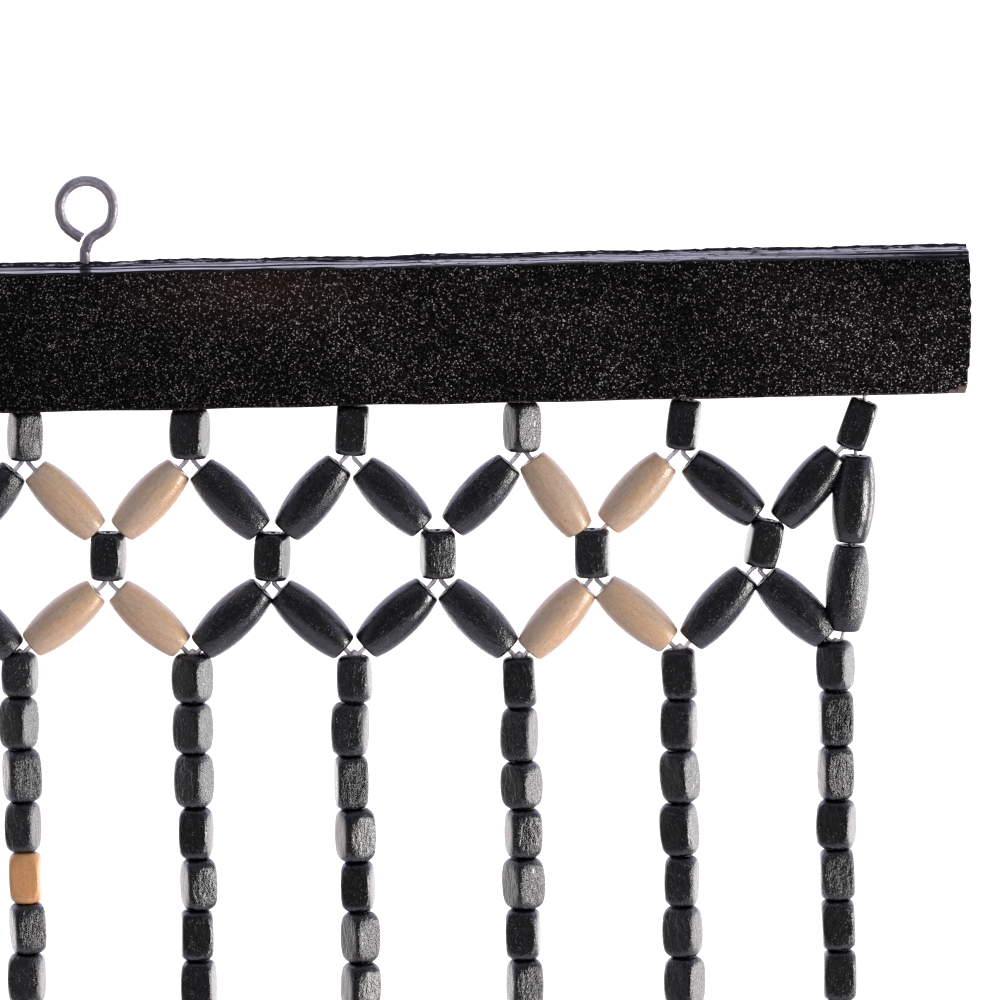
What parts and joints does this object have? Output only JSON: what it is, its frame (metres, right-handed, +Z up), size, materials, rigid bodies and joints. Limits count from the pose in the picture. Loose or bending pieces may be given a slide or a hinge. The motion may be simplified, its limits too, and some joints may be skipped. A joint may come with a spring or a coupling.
{
  "type": "wooden bead door curtain on a hanging bar with two screw eyes",
  "caption": "Door curtain of black and natural wooden beads on thread, hung from a black wooden bar with two screw eyes.",
  "frame": {"origin": "midway between the two screw eyes, at the height where hooks bear on them, in the plane of the bead strings", "axes": "+X to the right along the bar, +Y to the back face, +Z up; the strings hang along -Z"},
  "size_m": [0.9, 0.012, 2.015],
  "materials": {
    "bar_wood": "black stained rough sawn wood, semi gloss top",
    "black_beads": "black stained and lacquered wood",
    "natural_beads": "clear lacquered pale wood",
    "eye_steel": "satin grey zinc"
  },
  "bodies": {
    "root": {"bar": "bar_wood", "eye_left": "eye_steel", "eye_right": "eye_steel", "bead_net": "black_beads", "natural_oval_01": "natural_beads", "natural_oval_02": "natural_beads", "natural_oval_03": "natural_beads", "natural_oval_04": "natural_beads", "natural_oval_05": "natural_beads", "natural_oval_06": "natural_beads", "natural_oval_07": "natural_beads", "natural_oval_08": "natural_beads", "natural_oval_09": "natural_beads", "natural_oval_10": "natural_beads", "natural_oval_11": "natural_beads", "natural_oval_12": "natural_beads", "natural_oval_13": "natural_beads", "natural_oval_14": "natural_beads", "natural_oval_15": "natural_beads", "natural_oval_16": "natural_beads", "natural_oval_17": "natural_beads", "natural_oval_18": "natural_beads", "natural_oval_19": "natural_beads", "natural_oval_20": "natural_beads", "natural_oval_21": "natural_beads", "natural_oval_22": "natural_beads", "natural_oval_23": "natural_beads", "natural_oval_24": "natural_beads", "natural_oval_25": "natural_beads", "natural_oval_26": "natural_beads", "natural_oval_27": "natural_beads", "natural_oval_28": "natural_beads", "natural_oval_29": "natural_beads", "natural_oval_30": "natural_beads", "natural_oval_31": "natural_beads", "natural_oval_32": "natural_beads"}
  },
  "joints": []
}
